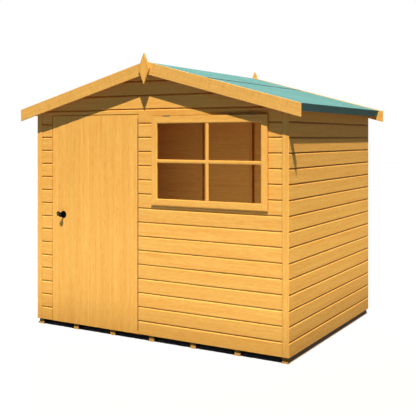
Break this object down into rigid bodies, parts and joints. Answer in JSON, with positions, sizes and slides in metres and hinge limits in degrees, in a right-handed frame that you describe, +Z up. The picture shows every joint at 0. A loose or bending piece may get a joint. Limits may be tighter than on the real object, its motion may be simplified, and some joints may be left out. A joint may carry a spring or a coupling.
{
  "type": "wooden garden shed",
  "caption": "Timber garden shed with boarded walls, a felted ridge roof, a side-hung door with a knob and a window with glazing bars.",
  "frame": {"origin": "centre of the whole shed's box on the ground, under the bearers", "axes": "+X to the right along the front, +Y from the front to the back, +Z up"},
  "size_m": [2.692, 2, 2.332],
  "materials": {
    "cladding": "satin",
    "framing": "matte",
    "felt": "matte",
    "glass": "gloss",
    "steel": "satin",
    "black_metal": "gloss"
  },
  "bodies": {
    "shed": {"back_bargeboard_left": "cladding", "back_bargeboard_right": "cladding", "back_wall": "cladding", "back_wall_rails": "framing", "back_wall_studs": "framing", "corner_strips": "cladding", "finials": "cladding", "floor_bearers": "framing", "floor_deck": "framing", "frame_hinge_leaf": "steel", "front_bargeboard_left": "cladding", "front_bargeboard_right": "cladding", "front_gable": "cladding", "front_wall_below_window": "cladding", "front_wall_head": "cladding", "front_wall_left": "cladding", "front_wall_middle": "cladding", "front_wall_rails": "framing", "front_wall_right": "cladding", "front_wall_studs": "framing", "gable_rafters": "framing", "hinge_pin": "steel", "left_wall": "cladding", "left_wall_rails": "framing", "left_wall_studs": "framing", "right_wall": "cladding", "right_wall_rails": "framing", "right_wall_studs": "framing", "roof_boards_left": "framing", "roof_boards_right": "framing", "roof_felt_left": "felt", "roof_felt_ridge": "felt", "roof_felt_right": "felt", "roof_rails": "framing", "window_glass": "glass", "window_hinges": "steel", "window_sash": "cladding"},
    "door": {"door_panel": "cladding", "door_stiles": "framing", "door_rails": "framing", "door_braces": "framing", "door_hinge_leaf": "steel", "knob_roses": "black_metal"},
    "knob": {"door_knobs": "black_metal", "knob_spindle": "steel"}
  },
  "joints": [
    {"name": "door_swing", "type": "hinge", "parent": "shed", "child": "door", "pos_m": [-0.124, -0.9035, 0.048], "axis": [0, 0, 1], "range_deg": [0, 165]},
    {"name": "knob_turn", "type": "hinge", "parent": "door", "child": "knob", "pos_m": [-0.919, -0.899, 0.9865], "axis": [0, 1, 0], "range_deg": [-60, 60], "stiffness_Nm_per_rad": 0.3}
  ]
}
